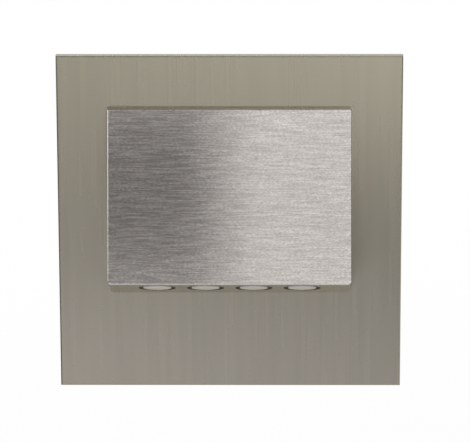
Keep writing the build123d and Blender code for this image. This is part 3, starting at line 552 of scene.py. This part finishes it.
def frosted(name, colour):
    """Milky lens plastic with a fine etched skin."""
    tree, shader = new_finish(name, IOR=1.5, Coat_Weight=0.15, Coat_Roughness=0.2)
    etch = speckle(tree, (etch_size, etch_size, etch_size))
    veil = speckle(tree, (veil_size, veil_size, veil_size))
    lead_in(tree, shader,
            Base_Color=tinted(tree, linear(*colour), spread(tree, veil, *veil_tones)),
            Roughness=spread(tree, etch, *etch_rough),
            Normal=bumped(tree, etch, etch_depth))


before = len(finishes)
frosted("lens_frosted", (201, 196, 189))
frosted("led_phosphor", (235, 205, 92))
print("frosted", list(finishes)[before:])

# %% [markdown]
# ### Boards
# Copper tracks show faintly through a board's lacquer. They could be drawn one by one, but the boards lie
# inside, so the borders between a texture's angular cells are enough.

# %% Boards
cells_per_track = 0.25
track_edge = (0.42, 0.50)
track_height = 0.02
lacquer_grain = 0.3
lacquer_rough = (0.3, 0.45)


def lacquered_board(name, lacquer, track, track_width):
    """Circuit board: tracks show through the lacquer as lines between cells."""
    tree, shader = new_finish(name, Coat_Weight=0.3)
    here = put(tree, "ShaderNodeTexCoord").outputs["Object"]
    sized = put(tree, "ShaderNodeMapping", {"Vector": here, "Scale": [1 / (track_width * MM)] * 3})
    cells = put(tree, "ShaderNodeTexVoronoi", {"Vector": sized.outputs[0], "Scale": cells_per_track},
                distance="CHEBYCHEV", feature="F1")
    lines = spread(tree, cells.outputs["Distance"], 0, 1, track_edge)
    gloss = speckle(tree, (lacquer_grain, lacquer_grain, lacquer_grain))
    lead_in(tree, shader,
            Base_Color=between(tree, lines, linear(*lacquer), linear(*track)),
            Roughness=spread(tree, gloss, *lacquer_rough),
            Normal=bumped(tree, lines, track_height))


lacquered_board("light_board_white", (232, 232, 228), (218, 220, 216), 1.0)
lacquered_board("driver_board_green", (30, 98, 58), (52, 124, 78), 0.6)
print("finishes", len(finishes), "of", len(record["materials"]), "slots")

# %% [markdown]
# ### Finishes onto the frame
# The record says which slot each CAD node belongs to. The nodes could be dressed one by one by name, but
# going through the record leaves none out.

# %% Finishes onto the frame
for part in record["subparts"]:
    for holder in frame["nodes"][part["node"]].material_slots:
        holder.material = finishes[part["material_slot"]]
print("dressed", len(record["subparts"]), "nodes")

# %% [markdown]
# ## Pieces made with Geometry Nodes
# What follows a path or repeats is made by node trees: the springs' wire, the ribs on the rubber tips and the
# screws. A tree's inputs carry the sizes. Its result is turned into a plain mesh, so nothing stays live.


# %% Tree helpers
def new_tree(name, **inputs):
    """A Geometry Nodes tree with named inputs, and its inputs' sockets."""
    tree = bpy.data.node_groups.new(name, "GeometryNodeTree")
    tree.interface.new_socket("Geometry", in_out="OUTPUT", socket_type="NodeSocketGeometry")
    tree.interface.new_socket("Geometry", in_out="INPUT", socket_type="NodeSocketGeometry")
    for label, kind in inputs.items():
        tree.interface.new_socket(label.replace("_", " "), in_out="INPUT", socket_type="NodeSocket" + kind)
    return tree, tree.nodes.new("NodeGroupInput").outputs


def end_tree(tree, given, geometry):
    """Closes a tree: instances become real, faces shade smoothly and take the material."""
    real = put(tree, "GeometryNodeRealizeInstances", {0: geometry})
    soft = put(tree, "GeometryNodeSetShadeSmooth", {"Geometry": real.outputs[0]})
    dressed = put(tree, "GeometryNodeSetMaterial", {
        "Geometry": soft.outputs[0], "Material": given["Material"]})
    put(tree, "NodeGroupOutput", {0: dressed.outputs[0]})


def placed(name, mesh):
    """An object of the scene for a mesh."""
    thing = bpy.data.objects.new(name, mesh)
    scene.collection.objects.link(thing)
    return thing


def plain_mesh(thing):
    """The mesh that an object's modifiers make."""
    return bpy.data.meshes.new_from_object(thing.evaluated_get(bpy.context.evaluated_depsgraph_get()))


def grown(name, tree, start_mesh, **values):
    """A plain mesh piece: what the tree makes of a start mesh with these input values."""
    holder = placed(name + "_holder", start_mesh)
    modifier = holder.modifiers.new("grow", "NODES")
    modifier.node_group = tree
    for item in tree.interface.items_tree:
        label = item.name.replace(" ", "_")
        if item.in_out == "INPUT" and label in values:
            modifier[item.identifier] = values[label]
    mesh = plain_mesh(holder)
    mesh.name = name
    bpy.data.objects.remove(holder)
    return placed(name, mesh)


# %% [markdown]
# ### Clip springs
# A torsion spring is one wire: a straight leg, three and a bit turns round the hinge pin, and another leg.
# It could be drawn as three curves and joined. But beyond the coil's ends the wire runs on along its tangent,
# so one formula gives every point of it: the angle is held at the coil's end, and the rest of the length is
# laid off along the tangent there.

# %% Wire tree
wire_sides = 14

wire_tree, given = new_tree(
    "wound_wire", Coil_radius="Float", Wire_radius="Float", Rise="Float", Start="Float", End="Float",
    Leg_before="Float", Leg_after="Float", Points="Int", Material="Material")
line = put(wire_tree, "GeometryNodeMeshLine", {"Count": given["Points"]})
index = put(wire_tree, "GeometryNodeInputIndex").outputs[0]
along = ranged(
    wire_tree, index, 0.0, maths(wire_tree, "SUBTRACT", given["Points"], 1.0),
    maths(wire_tree, "SUBTRACT", given["Start"], given["Leg before"]),
    maths(wire_tree, "ADD", given["End"], given["Leg after"]))
held = maths(wire_tree, "MAXIMUM", maths(wire_tree, "MINIMUM", along, given["End"]), given["Start"])
past = maths(wire_tree, "SUBTRACT", along, held)
cosine = maths(wire_tree, "COSINE", held)
sine = maths(wire_tree, "SINE", held)
unit_x = maths(wire_tree, "SUBTRACT", cosine, maths(wire_tree, "MULTIPLY", sine, past))
unit_y = maths(wire_tree, "ADD", sine, maths(wire_tree, "MULTIPLY", cosine, past))
middle = maths(wire_tree, "MULTIPLY", maths(wire_tree, "ADD", given["Start"], given["End"]), 0.5)
place = put(wire_tree, "ShaderNodeCombineXYZ", {
    0: maths(wire_tree, "MULTIPLY", unit_x, given["Coil radius"]),
    1: maths(wire_tree, "MULTIPLY", unit_y, given["Coil radius"]),
    2: maths(wire_tree, "MULTIPLY", maths(wire_tree, "SUBTRACT", along, middle), given["Rise"]),
})
laid = put(wire_tree, "GeometryNodeSetPosition", {"Geometry": line.outputs[0], "Position": place.outputs[0]})
path = put(wire_tree, "GeometryNodeMeshToCurve", {0: laid.outputs[0]})
ring = put(wire_tree, "GeometryNodeCurvePrimitiveCircle", {
    "Resolution": wire_sides, "Radius": given["Wire radius"]})
tube = put(wire_tree, "GeometryNodeCurveToMesh", {
    "Curve": path.outputs[0], "Profile Curve": ring.outputs[0], "Fill Caps": True})
end_tree(wire_tree, given, tube.outputs[0])
print("wire tree with", len(wire_tree.nodes), "nodes")

# %% Springs
spring_wire_r = 0.25
spring_r = 1.75
spring_pitch = 1.0
spring_turns = 3
part_turn = 0.75
clip_lead = radians(15)
leg_fixed = 7.0
leg_moving = 7.5
wire_points = 220

coil_start = pi
coil_end = tau * (spring_turns + part_turn) - clip_lead
rise_per_radian = spring_pitch / tau
wire_per_radian = sqrt(spring_r ** 2 + rise_per_radian ** 2)
joints = {joint["name"]: joint for joint in frame["joints"]}
side_turns = {"right": Matrix.Identity(4), "left": Matrix.Rotation(pi, 4, "Y")}

for side, turn in side_turns.items():
    spring = grown(
        f"spring_{side}", wire_tree, bpy.data.meshes.new("wire_start"),
        Coil_radius=spring_r * MM, Wire_radius=spring_wire_r * MM, Rise=rise_per_radian * MM,
        Start=coil_start, End=coil_end, Leg_before=leg_fixed / wire_per_radian,
        Leg_after=leg_moving / wire_per_radian, Points=wire_points, Material=finishes["spring_steel"])
    pin = Vector(joints[f"clip_{side}_swing"]["pos_m"])
    spring.data.transform(Matrix.Translation(pin) @ turn)
    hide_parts(f"clip_spring_{side}")
    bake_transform(spring)
    print(spring.name, "faces", len(spring.data.polygons))

# %% [markdown]
# ### Rubber tips
# A moulded boot is pushed over the end of each clip arm, where it grips the back of the wall. It is a
# rounded block with a pocket for the arm, and low ribs across both faces. It could be shaped by hand from one
# mesh. But a bevel and a cut keep its sizes open to change, and the ribs repeat, so a tree lays them in two
# rows.

# %% Boot
tip_length = 4.0 * MM
tip_thickness = 2.4 * MM
tip_width = 9.0 * MM
tip_wall = 0.65 * MM
tip_round = 0.45 * MM
tip_round_steps = 4
rib_step_in = 0.25 * MM
block_thickness = tip_thickness - 2 * rib_step_in


def mesh_of(name, shape):
    """A mesh of an edited shape, which is freed."""
    mesh = bpy.data.meshes.new(name)
    shape.to_mesh(mesh)
    shape.free()
    return mesh


def block(name, length, thickness, width):
    """A box mesh about the origin."""
    shape = bmesh.new()
    bmesh.ops.create_cube(shape, size=1.0)
    bmesh.ops.scale(shape, vec=(length, thickness, width), verts=shape.verts)
    return mesh_of(name, shape)


def carved(name, mesh, cutter_mesh, round_r=0.0, crossing=False):
    """A mesh, first rounded where that is asked, less a cutter, which may cross itself."""
    body = placed(name, mesh)
    cutter = placed(name + "_cutter", cutter_mesh)
    if round_r:
        rounding = body.modifiers.new("round", "BEVEL")
        rounding.width = round_r
        rounding.segments = tip_round_steps
    cut = body.modifiers.new("cut", "BOOLEAN")
    cut.operation = "DIFFERENCE"
    cut.solver = "EXACT"
    cut.use_self = crossing
    cut.object = cutter
    result = plain_mesh(body)
    bpy.data.objects.remove(body)
    bpy.data.objects.remove(cutter)
    return result


def boot():
    """The rounded block with its pocket, in the tip's own frame: X along the arm, Y across its faces."""
    outer = block("boot_outer", tip_length, block_thickness, tip_width)
    pocket = block("boot_pocket", tip_length, tip_thickness - 2 * tip_wall, tip_width - 2 * tip_wall)
    pocket.transform(Matrix.Translation((-tip_wall, 0, 0)))
    return carved("boot", outer, pocket, round_r=tip_round)


print("boot", in_mm((tip_length, block_thickness, tip_width)), "mm")

# %% Rib tree
rib_sides = 16

rib_tree, given = new_tree(
    "ribbed_boot", Rib_radius="Float", Rib_length="Float", Rib_pitch="Float", Rows_apart="Float",
    Ribs="Int", Material="Material")
rib = put(rib_tree, "GeometryNodeMeshCylinder", {
    "Vertices": rib_sides, "Radius": given["Rib radius"], "Depth": given["Rib length"]})
first = maths(rib_tree, "MULTIPLY", maths(rib_tree, "SUBTRACT", given["Ribs"], 1.0),
              maths(rib_tree, "MULTIPLY", given["Rib pitch"], -0.5))
step = put(rib_tree, "ShaderNodeCombineXYZ", {0: given["Rib pitch"]})
rows = []
for half in (-0.5, 0.5):
    start = put(rib_tree, "ShaderNodeCombineXYZ", {
        0: first, 1: maths(rib_tree, "MULTIPLY", given["Rows apart"], half)})
    row = put(rib_tree, "GeometryNodeMeshLine", {
        "Count": given["Ribs"], "Start Location": start.outputs[0], "Offset": step.outputs[0]})
    rows.append(put(rib_tree, "GeometryNodeInstanceOnPoints", {
        "Points": row.outputs[0], "Instance": rib.outputs["Mesh"]}).outputs[0])
together = put(rib_tree, "GeometryNodeJoinGeometry")
for geometry in (given["Geometry"], *rows):
    rib_tree.links.new(geometry, together.inputs[0])
end_tree(rib_tree, given, together.outputs[0])
print("rib tree with", len(rib_tree.nodes), "nodes")

# %% Tips on the arms
rib_r = 0.25 * MM
rib_count = 4
rib_pitch = 0.85 * MM
rib_length = tip_width - 3 * tip_round
tip_crease = radians(35)
arm_turn = Matrix.Rotation(-clip_lead, 4, "Z")

for side, turn in side_turns.items():
    tip = grown(
        f"rubber_tip_{side}", rib_tree, boot(), Rib_radius=rib_r, Rib_length=rib_length, Rib_pitch=rib_pitch,
        Rows_apart=block_thickness, Ribs=rib_count, Material=finishes["pad_rubber"])
    tip.data.set_sharp_from_angle(angle=tip_crease)
    low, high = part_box(f"clip_pad_{side}")
    tip.data.transform(Matrix.Translation((low + high) / 2) @ turn @ arm_turn)
    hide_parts(f"clip_pad_{side}")
    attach(tip, f"clip_{side}")
    print(tip.name, "faces", len(tip.data.polygons))

# %% [markdown]
# ### Screws
# The rear cover and the clip brackets are held by pan-head screws with a cross recess. One screw is turned
# on a lathe profile, with a tapered cross cut into its head and a ridged shank. A true thread would be a
# helix, but it is hidden in its hole, so rings are enough.

# %% Turning and cutting
turn_steps = 40
merge_distance = 1e-7


def turned(name, profile):
    """A mesh turned round Z from a profile of (radius, height) points that starts and ends on the axis."""
    shape = bmesh.new()
    points = [shape.verts.new((r, 0, z)) for r, z in profile]
    edges = [shape.edges.new(pair) for pair in zip(points, points[1:])]
    bmesh.ops.spin(shape, geom=points + edges, cent=(0, 0, 0), axis=(0, 0, 1), angle=tau, steps=turn_steps)
    bmesh.ops.remove_doubles(shape, verts=shape.verts, dist=merge_distance)
    bmesh.ops.recalc_face_normals(shape, faces=shape.faces)
    return mesh_of(name, shape)


def cross_cutter(name, reach, slot, depth, taper):
    """A cross that narrows as it goes down from z = 0."""
    shape = bmesh.new()
    for turn in (0, pi / 2):
        cube = bmesh.ops.create_cube(shape, size=1.0)["verts"]
        for v in cube:
            deep = v.co.z < 0
            shrink = taper if deep else 1.0
            v.co = Vector((v.co.x * 2 * reach * shrink, v.co.y * slot * shrink, -depth if deep else depth))
        bmesh.ops.rotate(shape, verts=cube, cent=(0, 0, 0), matrix=Matrix.Rotation(turn, 3, "Z"))
    return mesh_of(name, shape)


# %% One screw
crown_steps = 10
brim_share = 0.45
head_break = 0.12 * MM
plain_neck = 0.4 * MM
root_share = 0.84
end_share = 0.6
recess_reach = 0.60
recess_slot = 0.55 * MM
recess_depth = 0.62
recess_taper = 0.45


def pan_screw(name, shank_r, head_r, head_h, length, thread_pitch):
    """A pan-head screw: its head stands on z = 0 and its shank points down."""
    brim = head_h * brim_share
    angles = [pi / 2 * k / crown_steps for k in range(crown_steps + 1)]
    crown = [(head_r * sin(a), brim + (head_h - brim) * cos(a)) for a in angles]
    crown[0] = (0, head_h)
    root_r = shank_r * root_share
    foot = [(head_r, head_break), (head_r - head_break, 0), (root_r, 0)]
    ridges = int((length - plain_neck) / thread_pitch)
    thread = []
    for k in range(ridges):
        top = -plain_neck - k * thread_pitch
        thread += [(root_r, top), (shank_r, top - thread_pitch * 0.5)]
    thread_end = -plain_neck - ridges * thread_pitch
    end = [(root_r, thread_end), (shank_r * end_share, -length), (0, -length)]
    blank = turned(name, crown + foot + thread + end)
    reach, depth = head_r * recess_reach, head_h * recess_depth
    cross = cross_cutter(name + "_cross", reach, recess_slot, depth, recess_taper)
    cross.transform(Matrix.Translation((0, 0, head_h)))
    return placed(name, carved(name, blank, cross, crossing=True))


cover_head_r = 2.8 * MM
bracket_head_r = 1.75 * MM
bracket_head_h = 1.2 * MM
cover_screw = pan_screw("cover_screw", 1.5 * MM, cover_head_r, 1.9 * MM, 10.0 * MM, 0.5 * MM)
bracket_screw = pan_screw("bracket_screw", 1.0 * MM, bracket_head_r, bracket_head_h, 4.0 * MM, 0.4 * MM)
for screw in (cover_screw, bracket_screw):
    print(screw.name, "faces", len(screw.data.polygons))

# %% [markdown]
# ### Screws on their seats
# Copies could be set by hand, but a tree sets one on every seat, square to it. It also spins each one by a
# different angle, because no two screws stop at the same turn.

# %% Seat tree
screw_tree, given = new_tree("screws_on_seats", Screw="Object", Seed="Int", Material="Material")
axis = put(screw_tree, "GeometryNodeInputNamedAttribute", {"Name": "seat_axis"}, data_type="FLOAT_VECTOR")
square = put(screw_tree, "FunctionNodeAlignRotationToVector", {"Vector": axis.outputs[0]}, axis="Z")
angle = put(screw_tree, "FunctionNodeRandomValue", {2: 0.0, 3: pi, "Seed": given["Seed"]}, data_type="FLOAT")
own_turn = put(screw_tree, "FunctionNodeAxisAngleToRotation", {"Axis": (0, 0, 1), "Angle": angle.outputs[1]})
spun = put(screw_tree, "FunctionNodeRotateRotation", {
    "Rotation": square.outputs[0], "Rotate By": own_turn.outputs[0]}, rotation_space="LOCAL")
screw_mesh = put(screw_tree, "GeometryNodeObjectInfo", {"Object": given["Screw"]})
seats = put(screw_tree, "GeometryNodeMeshToPoints", {"Mesh": given["Geometry"]})
copies = put(screw_tree, "GeometryNodeInstanceOnPoints", {
    "Points": seats.outputs[0], "Instance": screw_mesh.outputs["Geometry"], "Rotation": spun.outputs[0]})
end_tree(screw_tree, given, copies.outputs[0])
print("seat tree with", len(screw_tree.nodes), "nodes")

# %% Screws on cover and brackets
screw_crease = radians(40)
cover_seed = 4
bracket_seed = 9
both_ways = (-1, 1)


def four_places(x, y, z):
    """A place, mirrored left and right and below and above."""
    return [Vector((side * x, y, level * z)) for side in both_ways for level in both_ways]


def set_screws(node, screw, places, axes, seed):
    """The screws of one CAD node, each on its place and along its axis."""
    start = bpy.data.meshes.new("seats")
    start.from_pydata(places, [], [])
    stored = start.attributes.new("seat_axis", "FLOAT_VECTOR", "POINT")
    for seat, axis in zip(stored.data, axes):
        seat.vector = axis
    piece = grown(node.replace("_screws", "_pan_screws"), screw_tree, start,
                  Screw=screw, Seed=seed, Material=finishes["zinc_steel"])
    piece.data.set_sharp_from_angle(angle=screw_crease)
    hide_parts(node)
    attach(piece, "fixture")
    bpy.data.objects.remove(screw)
    print(piece.name, len(places), "screws, faces", len(piece.data.polygons))


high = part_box("cover_screws")[1]
cover_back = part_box("rear_cover")[1].y
places = four_places(high.x - cover_head_r, cover_back, high.z - cover_head_r)
set_screws("cover_screws", cover_screw, places, [to_back] * len(places), cover_seed)

low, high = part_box("bracket_screws")
places = four_places(high.x - bracket_head_h, (low.y + high.y) / 2, high.z - bracket_head_r)
outward = [Vector((copysign(1, place.x), 0, 0)) for place in places]
set_screws("bracket_screws", bracket_screw, places, outward, bracket_seed)
